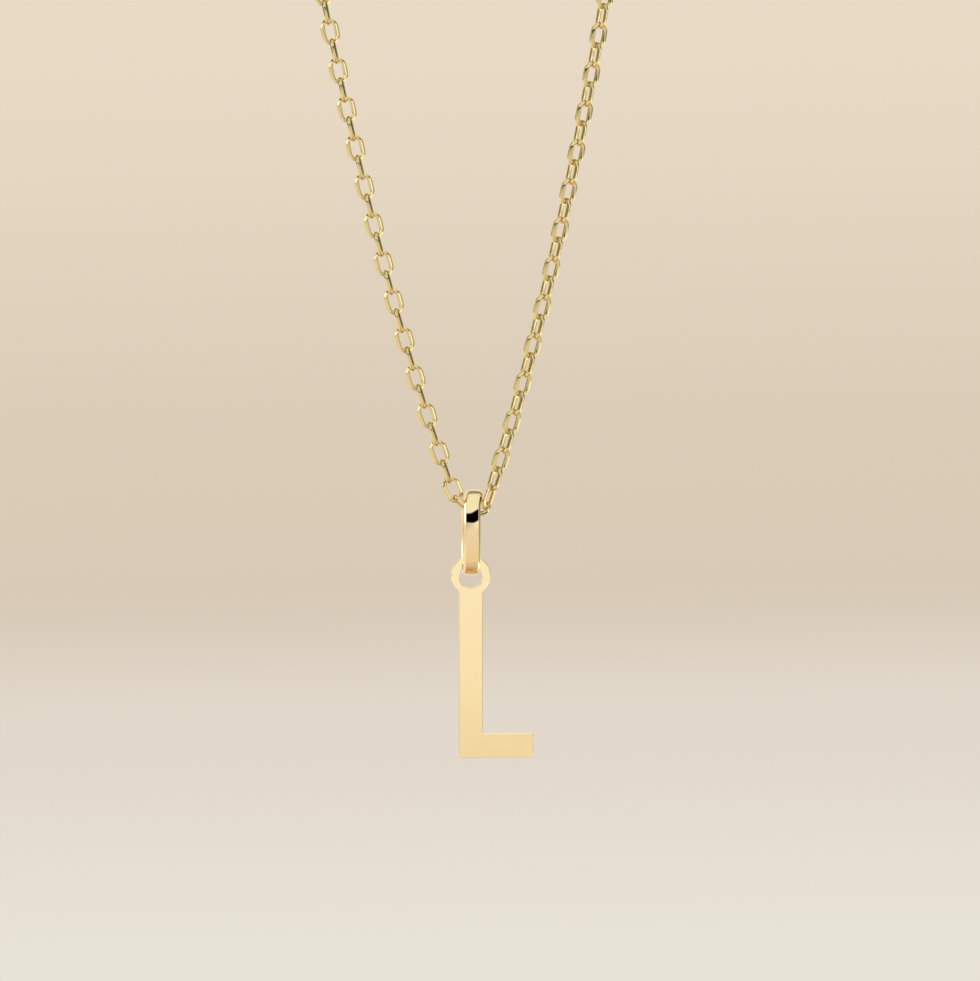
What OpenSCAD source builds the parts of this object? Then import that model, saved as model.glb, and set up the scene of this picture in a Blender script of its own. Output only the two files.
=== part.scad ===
// Initial pendant on a fine cable chain, hanging as a closed loop.
// Millimetres, +Z up, -Y to the front. The origin is the lowest point of the loop's
// round top, where it lies over a bar or a hook, and the letter hangs below it.

/* [Necklace] */
// Length of the whole closed necklace, clasp included
necklace_len = 450; // [400:10:600]
// How far the strands lean out above the bail, as a slope
strand_spread = 0.36; // [0.3:0.01:0.42]
// Length of chain over which the strands' lean halves
strand_bend = 34.5; // [30:0.5:38]

/* [Chain links] */
// Step from one link to the next
link_pitch = 1.195; // [1.15:0.005:1.5]
// Width of a link
link_w = 1.1; // [1:0.05:1.25]
// Thickness of a link's wire
link_wire = 0.14; // [0.12:0.01:0.16]
// Play between the wires of two links
link_play = 0.175; // [0.14:0.005:0.2]
// Links on each side of the bail that are made one by one
front_links = 100; // [40:10:110]

/* [Bail] */
// Height of the bail
bail_h = 5.2; // [4.6:0.1:6.5]
// Depth of the bail from front to back
bail_depth = 2.84; // [2.8:0.02:3.2]
// Width of the bail's band
bail_band_w = 1; // [0.85:0.05:1.05]
// Thickness of the bail's band
bail_band_t = 0.4; // [0.35:0.01:0.45]
// Radius inside the bail's top and bottom
bail_bend_r = 0.85; // [0.82:0.01:0.88]
// Bevel along the band's outer edges
bail_bevel = 0.12; // [0.08:0.01:0.15]
// Bevel along the band's inner edges
bail_inner_bevel = 0.08; // [0.06:0.01:0.1]
// How far the bail's top is bent across
bail_set = 0.185; // [0:0.005:0.2]

/* [Letter] */
// Height of the letter, without its ring
letter_h = 10; // [8:0.5:16]
// Width of the letter's foot
letter_w = 4.55; // [3.5:0.05:7]
// Width of the letter's strokes
stroke_w = 1.46; // [1.3:0.02:1.7]
// Thickness of the letter's plate
plate_t = 0.4; // [0.3:0.05:0.5]
// Diameter of the letter's ring
ring_d = 2.38; // [2.3:0.02:2.6]
// Diameter of the hole in the ring
ring_bore = 1.38; // [1.36:0.01:1.42]
// Height of the ring's centre above the hole's
ring_rise = 0.1; // [0.05:0.01:0.15]

/* [Clasp] */
// Diameter of the clasp's ring
clasp_d = 5; // [4.6:0.1:6]
// Thickness of the clasp's ring
clasp_wire = 0.9; // [0.8:0.05:1.05]
// Hole in each of the clasp's two eyes
eye_bore = 0.9; // [0.8:0.05:1.1]
// Thickness of each eye's wire
eye_wire = 0.4; // [0.35:0.01:0.42]

/* [Hidden] */
$fn = 64;
GOLD = [0.93, 0.8, 0.52];
CHAIN_GOLD = [0.88, 0.77, 0.45];
LEFT = 0;
RIGHT = 1;
SIDES = [LEFT, RIGHT];

// The links in the bail lie flatter than the strands do. Each row holds one side's: how
// far its first links lean from upright, and how far they turn about their own line from
// facing the front, in degrees.
SADDLE_LEAN = [[47, 22], [81]];
SADDLE_TURN = [[112, 182], [-34, 58]];
// The two that meet in the bail lie closer together than taut links.
saddle_slack = 0.17;
// Turn of each strand's links about their own line where it starts, in degrees.
STRAND_TURN = [-5, 30];
// Where the chain's lowest joint lies, across from the middle of the loop and down from
// the top of the bail's opening.
joint_x = -0.33;
joint_drop = 0.84;
// Where the bail hangs across from the middle of the loop.
bail_x = -0.22;
// How far the pendant's two pieces lean from upright, in degrees.
bail_lean = 1.1;
letter_lean = 0.8;

// Chain: how long a link is and how far it reaches past the joint with its neighbour
link_len = link_pitch + 2 * link_wire + link_play;
link_reach = (link_len - link_pitch) / 2;

// Links next to the clasp that are made one by one, and the gap that each tube's ends keep
end_links = 3;
end_gap = 0.1;

// Clasp: from its middle to the joint with the chain
eye_out = clasp_d / 2 + eye_wire / 2 + eye_bore / 2;
clasp_reach = eye_out + eye_bore / 2 - link_play / 2;

// Links on each side, an even number so that the last link stands upright in its eye
side_links = 2 * round((necklace_len / 2 - clasp_reach) / link_pitch / 2);
side_len = side_links * link_pitch;

// Strand: where each side leaves its hanging curve for the round top of the loop
function lean_at(s) = atan(strand_spread / (1 + s / strand_bend));
function inverse_sinh(u) = ln(u + sqrt(u * u + 1));
function curve_x(s) = inverse_sinh((1 + s / strand_bend) / strand_spread) * strand_spread * strand_bend;
function out_at(s) = bail_band_w / 2 + curve_x(s) - curve_x(0);
function top_r(s) = out_at(s) / cos(lean_at(s));
function top_turn(s) = 90 + lean_at(s) - asin(clasp_reach / top_r(s));
function top_start(s, tries) =
    tries == 0 ? s : top_start(side_len - top_r(s) * top_turn(s) * PI / 180, tries - 1);
FIRST_GUESS = 0.8;
GUESSES = 8;
arc_s = top_start(side_len * FIRST_GUESS, GUESSES);
arc_r = top_r(arc_s);

// Joints between links, from the bail up each side, as [x, z]
function lean(side, i) =
    let (s = (i + 0.5) * link_pitch)
    i < len(SADDLE_LEAN[side]) ? SADDLE_LEAN[side][i]
    : s < arc_s ? lean_at(s)
    : lean_at(arc_s) - (s - arc_s) / arc_r * 180 / PI;
function step_len(i) = i == 0 ? link_pitch - saddle_slack : link_pitch;
function side_sign(side) = side == LEFT ? -1 : 1;
function next_joint(side, i, p) =
    p + step_len(i) * [side_sign(side) * sin(lean(side, i)), cos(lean(side, i))];
function raw_joints(side) =
    [for (i = 0, p = [joint_x, 0]; i <= side_links; p = next_joint(side, i, p), i = i + 1) p];

// Both sides are drawn to the clasp's eyes, which shares the last fraction of a
// millimetre out between all the links.
RAW = [raw_joints(LEFT), raw_joints(RIGHT)];
top_z = (RAW[LEFT][side_links][1] + RAW[RIGHT][side_links][1]) / 2;
function closed(side) =
    let (miss = [side_sign(side) * clasp_reach, top_z] - RAW[side][side_links])
    [for (i = [0 : side_links]) RAW[side][i] + miss * i / side_links - [0, top_z - link_w / 2]];
JOINTS = [closed(LEFT), closed(RIGHT)];

function joint_at(side, i) = [JOINTS[side][i][0], 0, JOINTS[side][i][1]];
function way(side, i) =
    let (d = joint_at(side, min(i + 1, side_links)) - joint_at(side, min(i, side_links - 1)))
    d / norm(d);
function turn_at(side, i) =
    i < len(SADDLE_TURN[side]) ? SADDLE_TURN[side][i]
    : 90 * (side == LEFT ? i + 1 : i - 1) + STRAND_TURN[side] * (1 - i / side_links);

// Bail: four arcs make its oval, two round ends and two long flanks
bail_end_r = bail_bend_r + bail_band_t;
bail_end_z = bail_h / 2 - bail_end_r;
flank_in = bail_depth / 2 - bail_end_r;
flank_y = (bail_end_z * bail_end_z - flank_in * flank_in) / (2 * flank_in);
bail_flank_r = bail_depth / 2 + flank_y;
flank_turn = atan(bail_end_z / flank_y);

// Heights: the bail hangs over the lowest joint, and the letter's hole over the bail's
// lower bend, with the least gap that lets each swing
lowest_z = joint_at(LEFT, 0)[2];
swing_z = lowest_z + joint_drop - bail_bend_r;
letter_gap = 0.03;
band_half = bail_band_w / 2 - bail_inner_bevel;
bend_rise = bail_bend_r - sqrt(bail_bend_r * bail_bend_r - plate_t * plate_t / 4);
hole_r = ring_bore / 2 - letter_gap;
hang_drop = sqrt(hole_r * hole_r - band_half * band_half) - bend_rise;
letter_drop = 2 * bail_end_z + bail_bend_r + hang_drop;
letter_x = bail_x - letter_drop * sin(bail_lean);
letter_z = swing_z - letter_drop * cos(bail_lean);

// Letter, from the hole's centre down: the stem starts in the ring's wall, a little under
// the hole, and the ring's foot overlaps the letter's own height
stem_cover = 0.06;
ring_overlap = 0.09;
stem_top = -ring_bore / 2 - stem_cover;
letter_bottom = ring_rise - ring_d / 2 + ring_overlap - letter_h;

// The outline of a link, or of its opening: two round ends and straight flanks
module link_outline(len, wide) {
    for (end = [-1, 1])
        translate([0, end * (len - wide) / 2])
            circle(d = wide, $fn = 32);
    square([wide, len - wide], center = true);
}

// One link, standing along Z with its flat side to the front, with square-cut faces
module link() {
    rotate([90, 0, 0])
        linear_extrude(link_wire, center = true)
            difference() {
                link_outline(link_len, link_w);
                link_outline(link_len - 2 * link_wire, link_w - 2 * link_wire);
            }
}

// Link i of one side, in its place on the strand
module placed_link(side, i) {
    p = joint_at(side, i);
    q = joint_at(side, i + 1);
    translate((p + q) / 2)
        rotate([0, atan2(q[0] - p[0], q[2] - p[2]), 0])
            rotate([0, 0, turn_at(side, i)])
                link();
}

// The hidden stretch of one side: a tube as wide as the chain
TUBE_SIDES = 8;
TUBE_STEP = 4;
function tube_stops(last) = concat([for (i = [front_links : TUBE_STEP : last - 2]) i], [last]);
function tube_shift(i, last) = i == front_links ? link_reach + end_gap
    : i == last ? -link_reach - end_gap
    : 0;
function tube_ring(side, i, last) =
    let (
        d = way(side, i) + (i == front_links || i == last ? [0, 0, 0] : way(side, i - 1)),
        along = d / norm(d),
        across = [along[2], 0, -along[0]],
        mid = joint_at(side, i) + tube_shift(i, last) * along
    )
    [for (k = [0 : TUBE_SIDES - 1])
        mid + link_w / 2 * (cos(360 * k / TUBE_SIDES) * across + sin(360 * k / TUBE_SIDES) * [0, 1, 0])];

module tube(side) {
    last = side_links - end_links;
    stops = tube_stops(last);
    n = TUBE_SIDES;
    points = [for (i = stops) for (p = tube_ring(side, i, last)) p];
    walls = [for (r = [0 : len(stops) - 2]) for (k = [0 : n - 1])
        [r * n + k, r * n + (k + 1) % n, (r + 1) * n + (k + 1) % n, (r + 1) * n + k]];
    first_cap = [for (k = [0 : n - 1]) n - 1 - k];
    last_cap = [for (k = [0 : n - 1]) (len(stops) - 1) * n + k];
    polyhedron(points = points, faces = concat(walls, [first_cap, last_cap]), convexity = 8);
}

// The band's section, as [out from its inner wall, across]
half_band = bail_band_w / 2;
bevel_out = bail_band_t - bail_bevel;
BAND = [
    [0, -half_band + bail_inner_bevel],
    [bail_inner_bevel, -half_band],
    [bevel_out, -half_band],
    [bail_band_t, -half_band + bail_bevel],
    [bail_band_t, half_band - bail_bevel],
    [bevel_out, half_band],
    [bail_inner_bevel, half_band],
    [0, half_band - bail_inner_bevel]
];

// The angles round the oval, where the band's walls face, and its place at each
END_STEPS = 14;
FLANK_STEPS = 6;
end_turn = 180 - 2 * flank_turn;
HALF_OVAL = concat(
    [for (k = [0 : FLANK_STEPS - 1]) -flank_turn + 2 * flank_turn * k / FLANK_STEPS],
    [for (k = [0 : END_STEPS - 1]) flank_turn + end_turn * k / END_STEPS]
);
OVAL = concat(HALF_OVAL, [for (a = HALF_OVAL) a + 180]);
ROUNDING = 0.001;
function on_flank(a) = abs(cos(a)) > cos(flank_turn) - ROUNDING;
function sign_of(v) = v < 0 ? -1 : 1;
function arc_middle(a) = on_flank(a) ? [-flank_y * sign_of(cos(a)), 0] : [0, bail_end_z * sign_of(sin(a))];
function inner_r(a) = on_flank(a) ? bail_flank_r - bail_band_t : bail_bend_r;
function eased(u) = u * u * (3 - 2 * u);
function top_share(a) = max(0, (sin(a) - sin(flank_turn)) / (1 - sin(flank_turn)));
function band_point(a, p) =
    let (yz = arc_middle(a) + (inner_r(a) + p[0]) * [cos(a), sin(a)])
    [p[1] + bail_set * eased(top_share(a)), yz[0], yz[1]];

module bail() {
    n = len(BAND);
    stations = len(OVAL);
    points = [for (a = OVAL) for (p = BAND) band_point(a, p)];
    faces = [for (r = [0 : stations - 1]) for (k = [0 : n - 1])
        let (next = (r + 1) % stations)
        [r * n + k, r * n + (k + 1) % n, next * n + (k + 1) % n, next * n + k]];
    color(GOLD)
    translate([bail_x, 0, swing_z])
        rotate([0, bail_lean, 0])
            translate([0, 0, -bail_end_z])
                polyhedron(points = points, faces = faces, convexity = 6);
}

// A flat plate: the block letter and the ring above its stem
module letter() {
    color(GOLD)
    translate([letter_x, 0, letter_z])
        rotate([0, letter_lean, 0])
            difference() {
                union() {
                    translate([0, plate_t / 2, ring_rise])
                        rotate([90, 0, 0])
                            cylinder(h = plate_t, d = ring_d);
                    translate([-stroke_w / 2, -plate_t / 2, letter_bottom])
                        cube([stroke_w, plate_t, stem_top - letter_bottom]);
                    translate([-stroke_w / 2, -plate_t / 2, letter_bottom])
                        cube([letter_w, plate_t, stroke_w]);
                }
                translate([0, plate_t, 0])
                    rotate([90, 0, 0])
                        cylinder(h = 2 * plate_t, d = ring_bore);
            }
}

// The links that hang in front, down to the two that the bail lies over
module chain_front() {
    color(CHAIN_GOLD)
    for (side = SIDES)
        for (i = [0 : front_links - 1])
            placed_link(side, i);
}

// The rest of the loop: a tube up each side, and the last links that hold the clasp
module chain_back() {
    color(CHAIN_GOLD)
    for (side = SIDES) {
        tube(side);
        for (i = [side_links - end_links : side_links - 1])
            placed_link(side, i);
    }
}

// A plain closed clasp: a ring with an eye at each side, in one piece
module clasp() {
    color(GOLD)
    translate([0, 0, link_w / 2])
        union() {
            rotate_extrude()
                translate([clasp_d / 2 - clasp_wire / 2, 0])
                    circle(d = clasp_wire, $fn = 32);
            for (x = [-eye_out, eye_out])
                translate([x, 0, 0])
                    rotate_extrude()
                        translate([eye_bore / 2 + eye_wire / 2, 0])
                            circle(d = eye_wire, $fn = 32);
        }
}

letter();
bail();
chain_front();
chain_back();
clasp();
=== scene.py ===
"""Initial pendant on a fine cable chain, hanging in front of a pale studio sweep.

Lengths are worked out in millimetres, as in part.scad, and meshes are made in metres.
"""
import math
import random
from collections import namedtuple

import bpy
from mathutils import Matrix, Vector
from mathutils.geometry import delaunay_2d_cdt


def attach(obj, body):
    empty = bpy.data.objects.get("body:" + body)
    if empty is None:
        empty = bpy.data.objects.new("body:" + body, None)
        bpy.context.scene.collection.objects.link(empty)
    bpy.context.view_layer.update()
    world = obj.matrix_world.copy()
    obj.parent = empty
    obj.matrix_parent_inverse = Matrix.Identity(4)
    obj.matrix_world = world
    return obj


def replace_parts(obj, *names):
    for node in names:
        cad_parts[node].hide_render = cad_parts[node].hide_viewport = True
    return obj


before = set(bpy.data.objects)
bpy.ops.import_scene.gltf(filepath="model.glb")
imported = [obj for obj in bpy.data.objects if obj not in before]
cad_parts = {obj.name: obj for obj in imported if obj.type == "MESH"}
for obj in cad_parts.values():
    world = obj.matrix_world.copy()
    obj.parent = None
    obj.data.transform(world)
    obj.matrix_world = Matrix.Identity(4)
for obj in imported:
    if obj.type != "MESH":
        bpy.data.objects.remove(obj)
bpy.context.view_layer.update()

MM = 0.001

# Sizes from part.scad
NECKLACE_LEN = 450
STRAND_SPREAD = 0.36
STRAND_BEND = 34.5
LINK_PITCH = 1.195
LINK_W = 1.1
LINK_PLAY = 0.175
FRONT_LINKS = 100
BAIL_H = 5.2
BAIL_DEPTH = 2.84
BAIL_BAND_W = 1
BAIL_BAND_T = 0.4
BAIL_BEND_R = 0.85
BAIL_BEVEL = 0.12
BAIL_INNER_BEVEL = 0.08
LETTER_H = 10
LETTER_W = 4.55
STROKE_W = 1.46
PLATE_T = 0.4
RING_D = 2.38
RING_BORE = 1.38
RING_RISE = 0.1
RING_OVERLAP = 0.09
CLASP_D = 5
CLASP_WIRE = 0.9
EYE_BORE = 0.9
EYE_WIRE = 0.4

LEFT, RIGHT = 0, 1
SADDLE_LEAN = ((47, 22), (81,))
SADDLE_TURN = ((112, 182), (-34, 58))
SADDLE_SLACK = 0.17
STRAND_TURN = (-5, 30)
JOINT_X = -0.33
JOINT_DROP = 0.84
BAIL_X = -0.22
BAIL_LEAN = 1.1
BAIL_SET = 0.185
LETTER_LEAN = 0.8
LETTER_GAP = 0.03
EYE_OUT = CLASP_D / 2 + EYE_WIRE / 2 + EYE_BORE / 2
CLASP_REACH = EYE_OUT + EYE_BORE / 2 - LINK_PLAY / 2
SIDE_LINKS = 2 * round((NECKLACE_LEN / 2 - CLASP_REACH) / LINK_PITCH / 2)


# Numbers and curves
def sine(a):
    return math.sin(math.radians(a))


def cosine(a):
    return math.cos(math.radians(a))


def smooth_step(share):
    """0 below 0, 1 above 1, and a rise between them that is level at both ends."""
    share = min(1, max(0, share))
    return share * share * (3 - 2 * share)


def inside(p, outline):
    """Whether a point lies in a closed outline."""
    hit = False
    for k, a in enumerate(outline):
        b = outline[k - 1]
        if (a.y > p.y) != (b.y > p.y):
            if p.x < (b.x - a.x) * (p.y - a.y) / (b.y - a.y) + a.x:
                hit = not hit
    return hit


def rounded(corners, radii, steps):
    """A closed outline with its corners turned on small arcs."""
    out = []
    count = len(corners)
    for k, corner in enumerate(corners):
        here = Vector(corner)
        radius = radii[k]
        if not radius:
            out.append(here)
            continue
        before = (Vector(corners[k - 1]) - here).normalized()
        after = (Vector(corners[(k + 1) % count]) - here).normalized()
        half = before.angle(after) / 2
        back = radius / math.tan(half)
        middle = here + (before + after).normalized() * radius / math.sin(half)
        start = here + before * back - middle
        end = here + after * back - middle
        for j in range(steps + 1):
            spoke = start.lerp(end, j / steps).normalized() * radius
            out.append(middle + spoke)
    return out


# Where the chain lies
FIRST_GUESS = 0.8   # share of a side that lies below the loop's round top
GUESS_ROUNDS = 8


def lean_at(s):
    return math.degrees(math.atan(STRAND_SPREAD / (1 + s / STRAND_BEND)))


def curve_x(s):
    return math.asinh((1 + s / STRAND_BEND) / STRAND_SPREAD) * STRAND_SPREAD * STRAND_BEND


def top_radius(s):
    return (BAIL_BAND_W / 2 + curve_x(s) - curve_x(0)) / cosine(lean_at(s))


def top_turn(s):
    return 90 + lean_at(s) - math.degrees(math.asin(CLASP_REACH / top_radius(s)))


def top_start():
    """How far up a side the round top of the loop begins."""
    length = SIDE_LINKS * LINK_PITCH
    s = length * FIRST_GUESS
    for _ in range(GUESS_ROUNDS):
        s = length - top_radius(s) * math.radians(top_turn(s))
    return s


ARC_S = top_start()
ARC_R = top_radius(ARC_S)


def lean(side, i):
    """How far link i of a side leans from upright, in degrees."""
    s = (i + 0.5) * LINK_PITCH
    if i < len(SADDLE_LEAN[side]):
        return SADDLE_LEAN[side][i]
    if s < ARC_S:
        return lean_at(s)
    return lean_at(ARC_S) - math.degrees((s - ARC_S) / ARC_R)


def raw_joints(side):
    """A side's joints from the bail up, as (x, z), before they are drawn to the clasp."""
    x, z = JOINT_X, 0.0
    out = [(x, z)]
    sign = -1 if side == LEFT else 1
    for i in range(SIDE_LINKS):
        step = LINK_PITCH - (SADDLE_SLACK if i == 0 else 0)
        x += step * sign * sine(lean(side, i))
        z += step * cosine(lean(side, i))
        out.append((x, z))
    return out


def closed_joints():
    """Each side's joints, drawn to the clasp's eyes as part.scad draws them."""
    raw = [raw_joints(LEFT), raw_joints(RIGHT)]
    top_z = (raw[LEFT][-1][1] + raw[RIGHT][-1][1]) / 2
    sides = []
    for side, joints in enumerate(raw):
        sign = -1 if side == LEFT else 1
        miss_x = sign * CLASP_REACH - joints[-1][0]
        miss_z = top_z - joints[-1][1]
        sides.append([
            Vector((x + miss_x * i / SIDE_LINKS, 0,
                    z + miss_z * i / SIDE_LINKS - (top_z - LINK_W / 2)))
            for i, (x, z) in enumerate(joints)
        ])
    return sides


JOINTS = closed_joints()


def turn_at(side, i):
    """How far link i of a side is turned about its own length, in degrees."""
    if i < len(SADDLE_TURN[side]):
        return SADDLE_TURN[side][i]
    quarter = i + 1 if side == LEFT else i - 1
    return 90 * quarter + STRAND_TURN[side] * (1 - i / SIDE_LINKS)


# Where the bail and the letter lie
BAIL_END_R = BAIL_BEND_R + BAIL_BAND_T
BAIL_END_Z = BAIL_H / 2 - BAIL_END_R
FLANK_IN = BAIL_DEPTH / 2 - BAIL_END_R
FLANK_Y = (BAIL_END_Z ** 2 - FLANK_IN ** 2) / (2 * FLANK_IN)
FLANK_R = BAIL_DEPTH / 2 + FLANK_Y
FLANK_TURN = math.degrees(math.atan(BAIL_END_Z / FLANK_Y))
SWING_Z = JOINTS[LEFT][0].z + JOINT_DROP - BAIL_BEND_R
BAND_HALF = BAIL_BAND_W / 2 - BAIL_INNER_BEVEL
BEND_RISE = BAIL_BEND_R - math.sqrt(BAIL_BEND_R ** 2 - PLATE_T ** 2 / 4)
HANG_DROP = math.sqrt((RING_BORE / 2 - LETTER_GAP) ** 2 - BAND_HALF ** 2) - BEND_RISE
LETTER_DROP = 2 * BAIL_END_Z + BAIL_BEND_R + HANG_DROP
LETTER_X = BAIL_X - LETTER_DROP * sine(BAIL_LEAN)
LETTER_Z = SWING_Z - LETTER_DROP * cosine(BAIL_LEAN)
LETTER_BOTTOM = -LETTER_H - RING_D / 2 + RING_RISE + RING_OVERLAP


# Mesh helpers
def new_mesh(name, points, faces, material):
    mesh = bpy.data.meshes.new(name)
    mesh.from_pydata([tuple(c * MM for c in p) for p in points], [], faces)
    mesh.validate()
    mesh.update()
    mesh.materials.append(material)
    mesh.shade_smooth()
    obj = bpy.data.objects.new(name, mesh)
    bpy.context.scene.collection.objects.link(obj)
    return obj


def crease(obj, angle, rims=()):
    """Lights each flat as one, so that only the narrow edges between the flats turn."""
    obj.data.set_sharp_from_angle(angle=math.radians(angle))
    for edge in obj.data.edges:
        if any(all(k in rim for k in edge.vertices) for rim in rims):
            edge.use_edge_sharp = True
    mod = obj.modifiers.new("even_normals", "WEIGHTED_NORMAL")
    mod.mode = "FACE_AREA"
    mod.keep_sharp = True


def grid_faces(rows, columns, rows_close=False, columns_close=False):
    """Quads between rows of points, going on from the last to the first where they close."""
    return [
        (r * columns + c, r * columns + (c + 1) % columns,
         (r + 1) % rows * columns + (c + 1) % columns, (r + 1) % rows * columns + c)
        for r in range(rows if rows_close else rows - 1)
        for c in range(columns if columns_close else columns - 1)
    ]


def tube_faces(rings, count):
    """Quads of a tube that closes on itself, made of rings of count points."""
    return grid_faces(rings, count, rows_close=True, columns_close=True)


# Gold
TINT_SCALE = 900
TINT_DETAIL = 3
TINT_DARK = (0.97, 0.97, 0.93)   # what the darker drifts keep of red, green and blue
TINT_BRIGHT = 1.02
GLOSS_RANGE = (0.7, 1.35)        # the roughness drifts between these shares of its value
HAIR_SCALE = 2600
HAIR_DETAIL = 4
HAIR_STRETCH = (3, 3, 0.5)       # hairlines run up and down
HAIR_DEPTH = 0.01


def gold(name, base, rough, scratch):
    """Polished gold: small drifts of colour and gloss, and fine hairlines."""
    mat = bpy.data.materials.new(name)
    mat.use_nodes = True
    nodes, links = mat.node_tree.nodes, mat.node_tree.links
    bsdf = nodes["Principled BSDF"]
    bsdf.inputs["Metallic"].default_value = 1
    where = nodes.new("ShaderNodeTexCoord")

    drift = nodes.new("ShaderNodeTexNoise")
    drift.inputs["Scale"].default_value = TINT_SCALE
    drift.inputs["Detail"].default_value = TINT_DETAIL
    links.new(where.outputs["Object"], drift.inputs["Vector"])
    tint = nodes.new("ShaderNodeMix")
    tint.data_type = "RGBA"
    tint.inputs["A"].default_value = (*[c * k for c, k in zip(base, TINT_DARK)], 1)
    tint.inputs["B"].default_value = (*[min(1, c * TINT_BRIGHT) for c in base], 1)
    links.new(drift.outputs["Fac"], tint.inputs["Factor"])
    links.new(tint.outputs["Result"], bsdf.inputs["Base Color"])

    gloss = nodes.new("ShaderNodeMapRange")
    gloss.inputs["To Min"].default_value = rough * GLOSS_RANGE[0]
    gloss.inputs["To Max"].default_value = rough * GLOSS_RANGE[1]
    links.new(drift.outputs["Fac"], gloss.inputs["Value"])
    links.new(gloss.outputs["Result"], bsdf.inputs["Roughness"])

    stretch = nodes.new("ShaderNodeMapping")
    stretch.inputs["Scale"].default_value = HAIR_STRETCH
    links.new(where.outputs["Object"], stretch.inputs["Vector"])
    hair = nodes.new("ShaderNodeTexNoise")
    hair.inputs["Scale"].default_value = HAIR_SCALE
    hair.inputs["Detail"].default_value = HAIR_DETAIL
    links.new(stretch.outputs["Vector"], hair.inputs["Vector"])
    bump = nodes.new("ShaderNodeBump")
    bump.inputs["Strength"].default_value = scratch
    bump.inputs["Distance"].default_value = HAIR_DEPTH * MM
    links.new(hair.outputs["Fac"], bump.inputs["Height"])
    links.new(bump.outputs["Normal"], bsdf.inputs["Normal"])
    return mat


LETTER_GOLD = gold("letter_gold", (1.0, 0.84, 0.54), rough=0.07, scratch=0.05)
BAIL_GOLD = gold("bail_gold", (0.89, 0.713, 0.441), rough=0.04, scratch=0.01)
# The chain's gold is darker than the others: its own colour with painted shade for the thin links
CHAIN_GOLD_WITH_PAINTED_SHADE = gold("chain_gold", (0.734, 0.591, 0.301), rough=0.12, scratch=0.005)
CLASP_GOLD = gold("clasp_gold", (0.881, 0.713, 0.407), rough=0.06, scratch=0.05)


# Chain links
LINK_SHOWN_LEN = 1.62   # outer length of a link of real wire
WIRE_END = 0.21         # wall of a link where its neighbour pulls
WIRE_FLANK = 0.28       # wall of a link along its sides
WIRE_SWELL = 1.5        # how late the wall grows from the one to the other
WIRE_DEEP = 0.32        # thickness from face to face
SADDLE_DEEP = ((0.2, 0.2), (0.2, 0.24))   # the same for each side's two links at the bail
# Corners of half the wire's section: shares of the wall inwards and of half the depth across
WIRE_CORNERS = ((0, 0.38), (-0.54, 1), (-0.68, 1), (-1, 0.56))
WIRE_ROUND = 0.03       # rounding between the flats of wire of full depth
ROUND_STEPS = 2
END_STATIONS = 12
CUT_ANGLE = 42          # of the flats at a link's four corners, in degrees from its width
CUT_WANDER = 5
CUT_DEPTH = 0.035
CUT_SHARES = (0.7, 1.25)   # the least and the most of that depth
CUT_SLANT = 0.3         # how far a flat faces to the link's front or back
CUT_PLACE = 0.55        # where it starts, as a share of half the depth
LINK_CREASE = 32
LINK_HALF = (LINK_SHOWN_LEN - LINK_W) / 2
LINK_STATIONS = [180 * k / END_STATIONS for k in range(END_STATIONS + 1)]
LINK_STATIONS += [180 + a for a in LINK_STATIONS]
LINK_FACES = tube_faces(len(LINK_STATIONS), 2 * len(WIRE_CORNERS) * (ROUND_STEPS + 1))


def link_outline(t):
    """Middle of the outer wall, its outward way and the wall's thickness at station t."""
    upper = t < len(LINK_STATIONS) // 2
    a = LINK_STATIONS[t]
    out = Vector((cosine(a), 0, sine(a)))
    centre = Vector((0, 0, LINK_HALF if upper else -LINK_HALF))
    wall = WIRE_END + (WIRE_FLANK - WIRE_END) * abs(out.x) ** WIRE_SWELL
    return centre + out * LINK_W / 2, out, wall


def wire_section(wall, deep):
    """The wire's section of eight flats, as (out from the outer wall, across)."""
    corners = [(u * wall, y * deep) for u, y in WIRE_CORNERS]
    corners += [(u * wall, -y * deep) for u, y in reversed(WIRE_CORNERS)]
    radius = WIRE_ROUND * deep / (WIRE_DEEP / 2)
    return rounded(corners, [radius] * len(corners), ROUND_STEPS)


def corner_cuts(rng, deep):
    """Planes of the flats at the four corners, two at each, as a normal and its reach."""
    cuts = []
    for sx, sz in ((1, 1), (-1, 1), (-1, -1), (1, -1)):
        a = CUT_ANGLE + rng.uniform(-CUT_WANDER, CUT_WANDER)
        depth = CUT_DEPTH * rng.uniform(*CUT_SHARES)
        for sy in (-1, 1):
            n = Vector((sx * cosine(a), sy * CUT_SLANT, sz * sine(a))).normalized()
            reach = (LINK_W / 2) * math.hypot(n.x, n.z) + abs(n.z) * LINK_HALF
            cuts.append((n, reach + abs(n.y) * deep * CUT_PLACE - depth))
    return cuts


def link_mesh(rng, thickness):
    """One link of eight-sided wire, with the outer half of it planed flat at the corners."""
    deep = thickness / 2
    cuts = corner_cuts(rng, deep)
    points = []
    for t in range(len(LINK_STATIONS)):
        p, out, wall = link_outline(t)
        for u, y in wire_section(wall, deep):
            q = p + out * u + Vector((0, y, 0))
            if u > -wall / 2:
                for n, d in cuts:
                    over = q.dot(n) - d
                    if over > 0:
                        q -= n * over
            points.append(q)
    return points


def chain_piece(name, side, first, last):
    """The links of one side from first up to last, in one mesh."""
    rng = random.Random(f"{name}{side}")
    points, faces = [], []
    for i in range(first, last):
        p, q = JOINTS[side][i], JOINTS[side][i + 1]
        d = q - p
        place = (
            Matrix.Translation((p + q) / 2)
            @ Matrix.Rotation(math.atan2(d.x, d.z), 4, "Y")
            @ Matrix.Rotation(math.radians(turn_at(side, i)), 4, "Z")
        )
        base = len(points)
        thickness = SADDLE_DEEP[side][i] if i < len(SADDLE_DEEP[side]) else WIRE_DEEP
        points += [place @ v for v in link_mesh(rng, thickness)]
        faces += [tuple(base + k for k in f) for f in LINK_FACES]
    obj = new_mesh(name, points, faces, CHAIN_GOLD_WITH_PAINTED_SHADE)
    crease(obj, LINK_CREASE)
    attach(obj, "root")
    return obj


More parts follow.
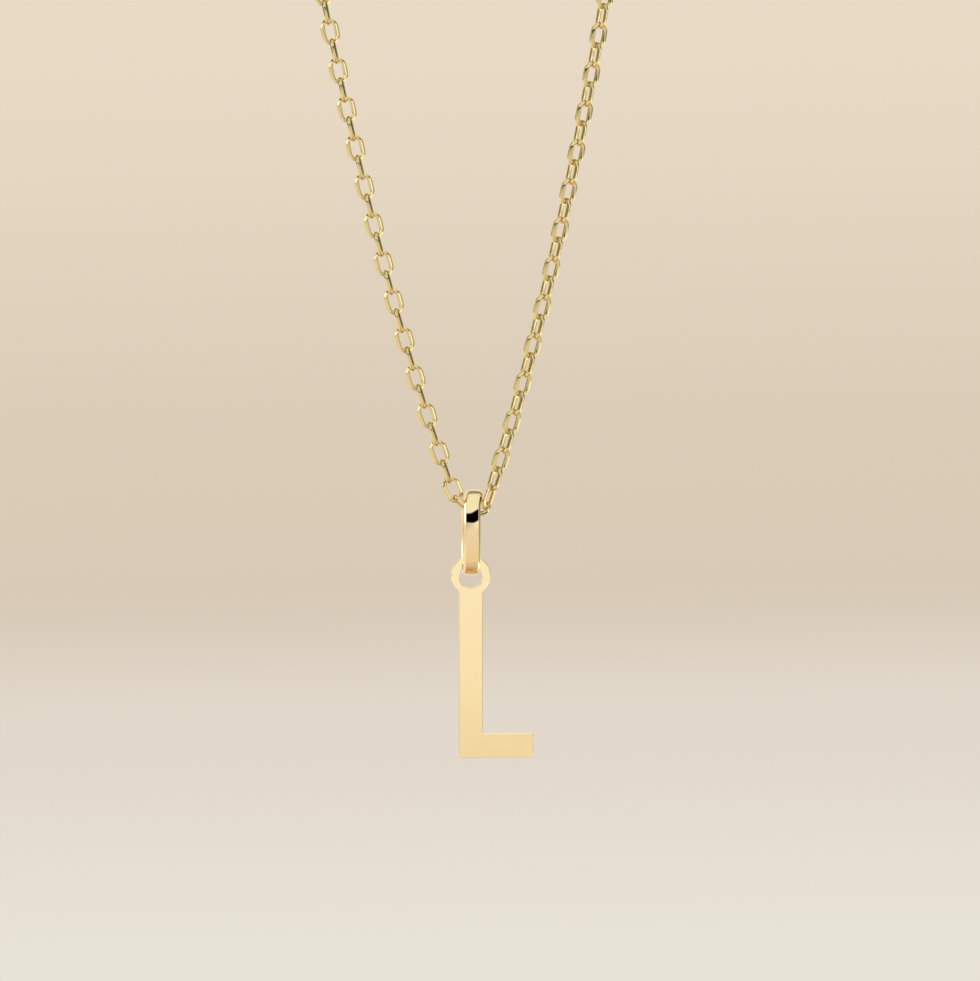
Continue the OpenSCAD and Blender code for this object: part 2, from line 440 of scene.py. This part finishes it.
def make_chain():
    for node, first, last in (
        ("chain_front", 0, FRONT_LINKS),
        ("chain_back", FRONT_LINKS, SIDE_LINKS),
    ):
        for side, word in ((LEFT, "left"), (RIGHT, "right")):
            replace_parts(chain_piece(f"{node}_{word}", side, first, last), node)


make_chain()


# Bail
BAND_CROWN = 0.03       # how far the band's outer face swells
CROWN_STEPS = 14
BAND_ROUNDS = (0.03, 0.05)   # rounding beside the inner and the outer bevels
BEVEL_STEPS = 4
FLANK_STEPS = 16
BEND_STEPS = 36
BAIL_CREASE = 60
TOUCH = 1e-6            # as good as equal


def bail_section():
    """The band's section, as (out from the inner wall, across), its outer face crowned."""
    w, t = BAIL_BAND_W / 2, BAIL_BAND_T
    half = w - BAIL_BEVEL
    corners = [
        (0, -w + BAIL_INNER_BEVEL), (BAIL_INNER_BEVEL, -w),
        (t - BAIL_BEVEL - BAND_CROWN, -w), (t - BAND_CROWN, -half),
    ]
    for k in range(1, CROWN_STEPS):
        x = -half + 2 * half * k / CROWN_STEPS
        corners.append((t - BAND_CROWN * (x / half) ** 2, x))
    corners += [
        (t - BAND_CROWN, half), (t - BAIL_BEVEL - BAND_CROWN, w),
        (BAIL_INNER_BEVEL, w), (0, w - BAIL_INNER_BEVEL),
    ]
    inner, outer = BAND_ROUNDS
    bevel_radii = [inner] * 2 + [outer] * 2
    radii = bevel_radii + [0] * (CROWN_STEPS - 1) + bevel_radii[::-1]
    return rounded(corners, radii, BEVEL_STEPS)


def bail_mesh():
    """The band, upright and centred: two flat curves, two bends, and the top bent across."""
    section = bail_section()
    bend_turn = 180 - 2 * FLANK_TURN
    angles = [-FLANK_TURN + 2 * FLANK_TURN * k / FLANK_STEPS for k in range(FLANK_STEPS)]
    angles += [FLANK_TURN + bend_turn * k / BEND_STEPS for k in range(BEND_STEPS)]
    angles += [a + 180 for a in angles]
    points = []
    low = sine(FLANK_TURN)
    for a in angles:
        ca, sa = cosine(a), sine(a)
        shift = BAIL_SET * smooth_step((sa - low) / (1 - low))
        if abs(ca) > cosine(FLANK_TURN) - TOUCH:
            cy, cz, r = -math.copysign(FLANK_Y, ca), 0, FLANK_R - BAIL_BAND_T
        else:
            cy, cz, r = 0, math.copysign(BAIL_END_Z, sa), BAIL_BEND_R
        for out, across in section:
            points.append(Vector((across + shift, cy + (r + out) * ca, cz + (r + out) * sa)))
    return points, tube_faces(len(angles), len(section))


def make_bail():
    points, faces = bail_mesh()
    place = (
        Matrix.Translation((BAIL_X, 0, SWING_Z))
        @ Matrix.Rotation(math.radians(BAIL_LEAN), 4, "Y")
        @ Matrix.Translation((0, 0, -BAIL_END_Z))
    )
    bail = new_mesh("bail_band", [place @ p for p in points], faces, BAIL_GOLD)
    crease(bail, BAIL_CREASE)
    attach(bail, "bail")
    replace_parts(bail, "bail")


make_bail()


# Letter
LETTER_EDGE = 0.045     # rounding of the plate's edges
EDGE_ROUND_STEPS = 4
RING_STEPS = 72
HOLE_STEPS = 64
# Steps and depth of wander along the five straight edges, from the stem's left side round
EDGE_STEPS = (72, 32, 10, 22, 62)
EDGE_WAVES = (0.003, 0.002, 0.003, 0.01, 0.003)
WAVE_FADE = 0.3         # length over which the wander fades out at a corner
LONG_WAVE = 330         # degrees of wave for each millimetre
SHORT_WAVE = 790
SHORT_START = 50
SHORT_SHARE = 0.6       # the short wave's height, the long one's being 1
LETTER_CREASE = 35
MERGE = 1e-9


def ring_arc(radius, x):
    """Points on the ring, from where it meets the stem's right side round to its left."""
    first = 180 - math.degrees(math.asin(x / radius))
    angles = [first - 2 * first * k / RING_STEPS for k in range(RING_STEPS + 1)]
    return [Vector((radius * sine(a), RING_RISE + radius * cosine(a))) for a in angles]


def edge_wave(s, length):
    """The saw's small wander at s along an edge, none at the edge's ends."""
    fade = min(1, s / WAVE_FADE, (length - s) / WAVE_FADE)
    wave = sine(LONG_WAVE * s) + SHORT_SHARE * sine(SHORT_WAVE * s + SHORT_START)
    return fade * wave / (1 + SHORT_SHARE)


def letter_outline(inset):
    """The plate's outline drawn in by inset, about the hole's centre."""
    half = STROKE_W / 2 - inset
    ring = ring_arc(RING_D / 2 - inset, half)
    bottom = LETTER_BOTTOM + inset
    foot_top = LETTER_BOTTOM + STROKE_W - inset
    foot_end = -STROKE_W / 2 + LETTER_W - inset
    corners = [
        (-half, ring[-1].y), (-half, bottom), (foot_end, bottom),
        (foot_end, foot_top), (half, foot_top), (half, ring[0].y),
    ]
    out = list(ring)
    for k, (wave, steps) in enumerate(zip(EDGE_WAVES, EDGE_STEPS)):
        start, end = Vector(corners[k]), Vector(corners[k + 1])
        edge = end - start
        normal = Vector((edge.y, -edge.x)).normalized()
        last = steps - 1 if k == len(EDGE_STEPS) - 1 else steps
        for j in range(1, last + 1):
            share = j / steps
            shift = wave * edge_wave(share * edge.length, edge.length)
            out.append(start + edge * share + normal * shift)
    return out


def hole_outline(inset):
    radius = RING_BORE / 2 + inset
    angles = [360 * k / HOLE_STEPS for k in range(HOLE_STEPS)]
    return [Vector((radius * cosine(a), radius * sine(a))) for a in angles]


def letter_levels():
    """Each level's inset and its place from front to back."""
    levels = []
    for k in range(EDGE_ROUND_STEPS + 1):
        a = 90 * k / EDGE_ROUND_STEPS
        levels.append((LETTER_EDGE * (1 - sine(a)), -PLATE_T / 2 + LETTER_EDGE * (1 - cosine(a))))
    return levels + [(inset, -y) for inset, y in reversed(levels)]


def plate_triangles(flat, outer):
    """Triangles that fill a face between its outline, which has outer points, and the hole."""
    rims = [list(range(outer)), list(range(outer, len(flat)))]
    edges = [(r[k], r[(k + 1) % len(r)]) for r in rims for k in range(len(r))]
    _, _, triangles, _, _, _ = delaunay_2d_cdt(flat, edges, [], 0, MERGE)
    kept = []
    for tri in triangles:
        middle = sum((flat[k] for k in tri), Vector((0, 0))) / 3
        if middle.length > RING_BORE / 2 + LETTER_EDGE and inside(middle, flat[:outer]):
            kept.append(tuple(tri))
    return kept


def letter_mesh():
    """The plate: rounded edges in steps from face to face, then its two flat faces."""
    levels = letter_levels()
    points, faces = [], []
    for inset, y in levels:
        outline = letter_outline(inset)
        points += [Vector((p.x, y, p.y)) for p in outline + hole_outline(inset)]
    outer, inner = len(outline), HOLE_STEPS
    layer = outer + inner
    for level in range(len(levels) - 1):
        a, b = level * layer, (level + 1) * layer
        for k in range(outer):
            n = (k + 1) % outer
            faces.append((a + k, a + n, b + n, b + k))
        for k in range(inner):
            n = (k + 1) % inner
            faces.append((a + outer + n, a + outer + k, b + outer + k, b + outer + n))
    back = (len(levels) - 1) * layer
    for tri in plate_triangles([Vector((p.x, p.z)) for p in points[:layer]], outer):
        faces.append(tri)
        faces.append(tuple(back + k for k in reversed(tri)))
    return points, faces, (set(range(layer)), set(range(back, back + layer)))


def make_letter():
    points, faces, rims = letter_mesh()
    place = (
        Matrix.Translation((LETTER_X, 0, LETTER_Z))
        @ Matrix.Rotation(math.radians(LETTER_LEAN), 4, "Y")
    )
    letter = new_mesh("letter_plate", [place @ p for p in points], faces, LETTER_GOLD)
    crease(letter, LETTER_CREASE, rims)
    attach(letter, "letter")
    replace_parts(letter, "letter")


make_letter()


# Clasp
RING_MESH = (96, 28)    # steps round the clasp's ring and round its wire
EYE_MESH = (56, 18)


def torus_points(x, middle_r, wire_r, turns, around):
    """Rings of points about a wire bent to a circle that lies level at x."""
    out = []
    for t in range(turns):
        a = 360 * t / turns
        spoke = Vector((cosine(a), sine(a), 0))
        for k in range(around):
            b = 360 * k / around
            reach = middle_r + wire_r * cosine(b)
            out.append(Vector((x, 0, LINK_W / 2 + wire_r * sine(b))) + spoke * reach)
    return out


def clasp_mesh():
    """The clasp's ring and its two eyes, each a round wire, joined where they overlap."""
    ring_wire, eye_wire = CLASP_WIRE / 2, EYE_WIRE / 2
    wires = [(0, CLASP_D / 2 - ring_wire, ring_wire, *RING_MESH)]
    wires += [(x, EYE_BORE / 2 + eye_wire, eye_wire, *EYE_MESH) for x in (-EYE_OUT, EYE_OUT)]
    points, faces = [], []
    for x, middle_r, wire_r, turns, around in wires:
        base = len(points)
        points += torus_points(x, middle_r, wire_r, turns, around)
        faces += [tuple(base + k for k in f) for f in tube_faces(turns, around)]
    return points, faces


def make_clasp():
    points, faces = clasp_mesh()
    clasp = new_mesh("clasp_rings", points, faces, CLASP_GOLD)
    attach(clasp, "root")
    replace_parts(clasp, "clasp")


make_clasp()


# Camera
IMAGE_W, IMAGE_H = 980, 981
PX_PER_MM = 16.5
AIM = Vector((0.954, 0, -207.992))
AZIMUTH, ELEVATION, ROLL = -4.0, 3.5, -0.803
DISTANCE = 400
SENSOR = 36
CLIP = (0.01, 100)      # in metres
HALF_VIEW = IMAGE_H / PX_PER_MM / 2 / DISTANCE


def make_camera():
    back = Vector((sine(AZIMUTH) * cosine(ELEVATION), -cosine(AZIMUTH) * cosine(ELEVATION),
                   sine(ELEVATION)))
    data = bpy.data.cameras.new("camera")
    data.sensor_width = SENSOR
    data.lens = SENSOR * DISTANCE / (IMAGE_W / PX_PER_MM)
    data.clip_start, data.clip_end = CLIP
    cam = bpy.data.objects.new("camera", data)
    bpy.context.scene.collection.objects.link(cam)
    cam.rotation_mode = "QUATERNION"
    cam.location = (AIM + back * DISTANCE) * MM
    turn = (-back).to_track_quat("-Z", "Y").to_matrix()
    cam.rotation_quaternion = (
        turn @ Matrix.Rotation(math.radians(ROLL), 3, "Z")
    ).to_quaternion()
    bpy.context.scene.camera = cam
    return cam


camera = make_camera()


# Materials that only glow
def srgb(r, g, b):
    return tuple(((c / 255 + 0.055) / 1.055) ** 2.4 for c in (r, g, b))


def glow_material(name, value_name, both_sides=True):
    """A glowing material, the node that reads its points' own values, and its glow node."""
    mat = bpy.data.materials.new(name)
    mat.use_nodes = True
    nodes, links = mat.node_tree.nodes, mat.node_tree.links
    nodes.clear()
    value = nodes.new("ShaderNodeAttribute")
    value.attribute_name = value_name
    glow = nodes.new("ShaderNodeEmission")
    out = nodes.new("ShaderNodeOutputMaterial")
    if both_sides:
        links.new(glow.outputs["Emission"], out.inputs["Surface"])
        return mat, value, glow
    clear = nodes.new("ShaderNodeBsdfTransparent")
    side = nodes.new("ShaderNodeNewGeometry")
    mix = nodes.new("ShaderNodeMixShader")
    links.new(side.outputs["Backfacing"], mix.inputs["Fac"])
    links.new(glow.outputs["Emission"], mix.inputs[1])
    links.new(clear.outputs["BSDF"], mix.inputs[2])
    links.new(mix.outputs["Shader"], out.inputs["Surface"])
    return mat, value, glow


# Stage
FLOOR_Z = -262.0
SWEEP_HALF = 2600.0     # half the sweep's width, and how far its floor comes forward
SWEEP_COLUMNS = 8
FLOOR_STEPS = 30
WALL_Y = 900.0
WALL_STEPS = 5
WALL_STEP = 10.0
SWEEP_R = 420.0
SWEEP_STEPS = 24
NEAREST = 1e-4          # in metres: what is nearer to the camera counts as out of view
PALE = srgb(226, 213, 194)
# The sweep's painted light and shade, as tones down the picture, which ends at 0.5
SWEEP_PAINTED_SHADING = (
    (0.0, srgb(233, 218, 198)), (0.27, srgb(218, 203, 183)), (0.3, srgb(216, 202, 183)),
    (0.37, srgb(226, 216, 203)), (0.5, srgb(232, 227, 215)), (0.9, PALE),
)


def sweep_profile():
    """The floor, the long curve up and the wall, as (y, z) from front to back."""
    bend_y = WALL_Y - SWEEP_R
    out = [(-SWEEP_HALF + (bend_y + SWEEP_HALF) * k / FLOOR_STEPS, FLOOR_Z)
           for k in range(FLOOR_STEPS + 1)]
    for k in range(1, SWEEP_STEPS + 1):
        a = 90 * k / SWEEP_STEPS
        out.append((bend_y + SWEEP_R * sine(a), FLOOR_Z + SWEEP_R * (1 - cosine(a))))
    out += [(WALL_Y, FLOOR_Z + SWEEP_R + WALL_STEP * k) for k in range(1, WALL_STEPS + 1)]
    return out


def row_of(y, z):
    """How far down the view a point of the sweep lies: the picture is 0 to 0.5 of it."""
    view = camera.matrix_basis.inverted() @ (Vector((0, y, z)) * MM)
    if view.z > -NEAREST:
        return 1.0
    return min(1.0, max(0.0, (0.5 - view.y / -view.z / HALF_VIEW / 2) / 2))


def make_sweep():
    """Floor and wall in one, glowing in the photo's tones and not mirrored by the gold."""
    profile = sweep_profile()
    columns = SWEEP_COLUMNS + 1
    points = [Vector((-SWEEP_HALF + 2 * SWEEP_HALF * c / SWEEP_COLUMNS, y, z))
              for y, z in profile for c in range(columns)]
    mat, row, glow = glow_material("sweep", "row", both_sides=False)
    nodes, links = mat.node_tree.nodes, mat.node_tree.links
    # The glow is painted light and shade on the sweep, graded by each row's place in the view
    ramp = nodes.new("ShaderNodeValToRGB")
    ramp.color_ramp.interpolation = "EASE"
    elements = ramp.color_ramp.elements
    while len(elements) < len(SWEEP_PAINTED_SHADING):
        elements.new(0.5)
    for element, (at, tone) in zip(elements, SWEEP_PAINTED_SHADING):
        element.position = at
        element.color = (*tone, 1)
    links.new(row.outputs["Fac"], ramp.inputs["Fac"])
    links.new(ramp.outputs["Color"], glow.inputs["Color"])
    sweep = new_mesh("studio_sweep", points, grid_faces(len(profile), columns), mat)
    rows = sweep.data.attributes.new("row", "FLOAT", "POINT")
    for k, (y, z) in enumerate(profile):
        for c in range(columns):
            rows.data[k * columns + c].value = row_of(y, z)
    sweep.visible_glossy = False


make_sweep()


# Light
DOME_R = 600.0
AZIMUTHS = range(-180, 180)
# Rows of the dome, close together where the flat pieces mirror it
ELEVATIONS = [3 * k for k in range(-30, -4)] + [k / 2 for k in range(-24, 60)]
ELEVATIONS += [2 * k for k in range(15, 46)]

# Colours, or stops of colour by the elevation
FLOOR_GLOW = (
    (-90, (0.436, 0.322, 0.201)), (-80, (0.61, 0.46, 0.307)), (-66, (0.785, 0.621, 0.448)),
    (-46, (0.861, 0.724, 0.543)), (-36, (0.937, 0.816, 0.637)), (-16, (0.959, 0.88, 0.763)),
    (-9, (0.948, 0.885, 0.779)),
)
LETTER_GLOW = (
    (-7.6, (0.83, 0.755, 0.6)), (-7.1, (0.89, 0.785, 0.65)), (-6.6, (0.955, 0.85, 0.73)),
    (-6, (0.985, 0.93, 0.83)), (-5.2, (0.98, 0.91, 0.815)), (-4.6, (0.99, 0.99, 0.92)),
)
RIGHT_GLOW = (
    (-24, (0.676, 0.575, 0.389)), (-14, (0.567, 0.506, 0.354)), (-7, (0.48, 0.448, 0.319)),
    (0, (0.458, 0.425, 0.366)), (6, (0.283, 0.276, 0.236)), (17, (0.076, 0.063, 0.035)),
)
LEFT_GLOW = (0.937, 0.897, 0.826)
OLIVE = (0.654, 0.598, 0.366)
WALLS = (0.371, 0.333, 0.236)
BEHIND = (0.959, 0.931, 0.814)
CANOPY = (1.025, 1.087, 1.015)
WHITE = (1.635, 1.725, 2.006)
TABLE = (1.635, 1.633, 1.475)
LEFT_TABLE = (1.057, 1.023, 0.92)
BLACK = (0.0, 0.0, 0.0)
DARK = (0.327, 0.287, 0.142)

# The front, by the azimuth, and what it turns to at its foot
FRONT_GLOW = ((-16, (0.61, 0.632, 0.625)), (4, (0.872, 0.908, 0.909)), (20, (1.09, 1.15, 1.18)))
FRONT_FOOT = (0.954, 0.903, 0.802)
FRONT_RISE = ((2, 80), 8)   # elevations above the foot, and their softness

# Patches of light, painted one over the other; softness is the width of a patch's edge
Patch = namedtuple("Patch", "azimuths azimuth_soft elevations elevation_soft glow")
PATCHES = (
    Patch((-260, -138), 16, (-8, 40), 8, BEHIND),
    Patch((138, 260), 16, (-8, 40), 8, BEHIND),
    Patch((-108, -62), 5, (-9, 20), 5, LEFT_GLOW),
    Patch((-108, -62), 5, (3, 33), 5, WHITE),
    Patch((-60, -34), 3, (-6, 40), 5, DARK),
    Patch((26, 44), 3, (-6, 30), 4, DARK),
    Patch((46, 62), 4, (-6, 34), 5, WHITE),
    Patch((-360, 360), 1, (-120, -7.5), 2, FLOOR_GLOW),
    Patch((-140, -34), 8, (-52, -9), 5, LEFT_TABLE),
    Patch((48, 140), 8, (-52, -9), 5, TABLE),
    Patch((64, 100), 5, (-24, 40), 8, OLIVE),
    Patch((84, 112), 5, (-24, 40), 8, RIGHT_GLOW),
    Patch((-32, 26), 3, (-10, 60), 3, "front"),
    Patch((1, 7), 2, (-8.2, -3.6), 1.4, LETTER_GLOW),
)

# The dark bar that the bail mirrors, from its foot to its top, and the canopy above it.
# Across is the angle to the right, and over the angle up and back over the pendant.
BAR_ACROSS, BAR_ACROSS_SOFT, BAR_SOFT = (-30, 36), 3, 1
BAR_FOOT = ((-40, 8.6), (-14, 8.4), (0, 7.4), (9, 7.4), (14, 8.2), (20, 9.4), (40, 12.0))
BAR_TOP = ((-40, 17.5), (-14, 17.9), (0, 17.8), (9, 19.4), (14, 20.7), (20, 22.4), (40, 27.0))
CANOPY_ACROSS, CANOPY_ACROSS_SOFT = (-24, 32), 30
CANOPY_END = 109
CANOPY_SOFT = (1.5, 16)   # at the bar, and at the far end
CANOPY_MIDDLE = 60
OVER_END = 130


def blend(share, a, b):
    return tuple(p + (q - p) * share for p, q in zip(a, b))


def along(stops, at):
    """The colour or number between the two stops that lie about a place."""
    for (x0, v0), (x1, v1) in zip(stops, stops[1:]):
        if at <= x1:
            share = min(1, max(0, (at - x0) / (x1 - x0)))
            return blend(share, v0, v1) if isinstance(v0, tuple) else v0 + (v1 - v0) * share
    return stops[-1][1]


def within(value, span, soft):
    """1 inside a span, 0 outside it, and a smooth step as wide as soft at each end."""
    low, high = span
    return smooth_step(min((value - low) / soft, (high - value) / soft) + 0.5)


def patch_colour(patch, azimuth, elevation):
    if patch.glow == "front":
        return blend(within(elevation, *FRONT_RISE), FRONT_FOOT, along(FRONT_GLOW, azimuth))
    if isinstance(patch.glow[0], tuple):
        return along(patch.glow, elevation)
    return patch.glow


def studio(azimuth, elevation):
    """How bright the studio is in one direction, azimuth 0 lying to the front and 90 right."""
    colour = WALLS
    for patch in PATCHES:
        share = (within(azimuth, patch.azimuths, patch.azimuth_soft)
                 * within(elevation, patch.elevations, patch.elevation_soft))
        colour = blend(share, colour, patch_colour(patch, azimuth, elevation))
    across = math.degrees(math.asin(cosine(elevation) * sine(azimuth)))
    over = math.degrees(math.atan2(sine(elevation), cosine(elevation) * cosine(azimuth)))
    if over < OVER_END:
        foot, top = along(BAR_FOOT, across), along(BAR_TOP, across)
        near, far = CANOPY_SOFT
        canopy = (within(across, CANOPY_ACROSS, CANOPY_ACROSS_SOFT)
                  * within(over, (top, CANOPY_END), near if over < CANOPY_MIDDLE else far))
        bar = within(across, BAR_ACROSS, BAR_ACROSS_SOFT) * within(over, (foot, top), BAR_SOFT)
        colour = blend(bar, blend(canopy, colour, CANOPY), BLACK)
    return colour


def make_dome():
    """A dome about the pendant, whose inner side carries the studio's soft light."""
    points, colours = [], []
    for e in ELEVATIONS:
        for a in AZIMUTHS:
            way = Vector((cosine(e) * sine(a), -cosine(e) * cosine(a), sine(e)))
            points.append(way * DOME_R + AIM)
            colours.append(studio(a, e))
    mat, painted, glow = glow_material("studio_light", "glow")
    mat.node_tree.links.new(painted.outputs["Color"], glow.inputs["Color"])
    mat.cycles.emission_sampling = "NONE"
    faces = grid_faces(len(ELEVATIONS), len(AZIMUTHS), columns_close=True)
    dome = new_mesh("studio_dome", points, faces, mat)
    layer = dome.data.attributes.new("glow", "FLOAT_COLOR", "POINT")
    for k, colour in enumerate(colours):
        layer.data[k].color = (*colour, 1)
    dome.visible_camera = False
    dome.visible_shadow = False


make_dome()


def make_world():
    """Dim and warm to the metal, and as pale as the sweep where a view looks past it."""
    world = bpy.data.worlds.new("studio")
    bpy.context.scene.world = world
    world.use_nodes = True
    nodes, links = world.node_tree.nodes, world.node_tree.links
    dim = nodes["Background"]
    dim.inputs["Color"].default_value = (*WALLS, 1)
    pale = nodes.new("ShaderNodeBackground")
    pale.inputs["Color"].default_value = (*PALE, 1)
    path = nodes.new("ShaderNodeLightPath")
    mix = nodes.new("ShaderNodeMixShader")
    links.new(path.outputs["Is Camera Ray"], mix.inputs["Fac"])
    links.new(dim.outputs["Background"], mix.inputs[1])
    links.new(pale.outputs["Background"], mix.inputs[2])
    links.new(mix.outputs["Shader"], nodes["World Output"].inputs["Surface"])


make_world()

bpy.context.scene.view_settings.view_transform = "Standard"
bpy.context.scene.view_settings.look = "None"
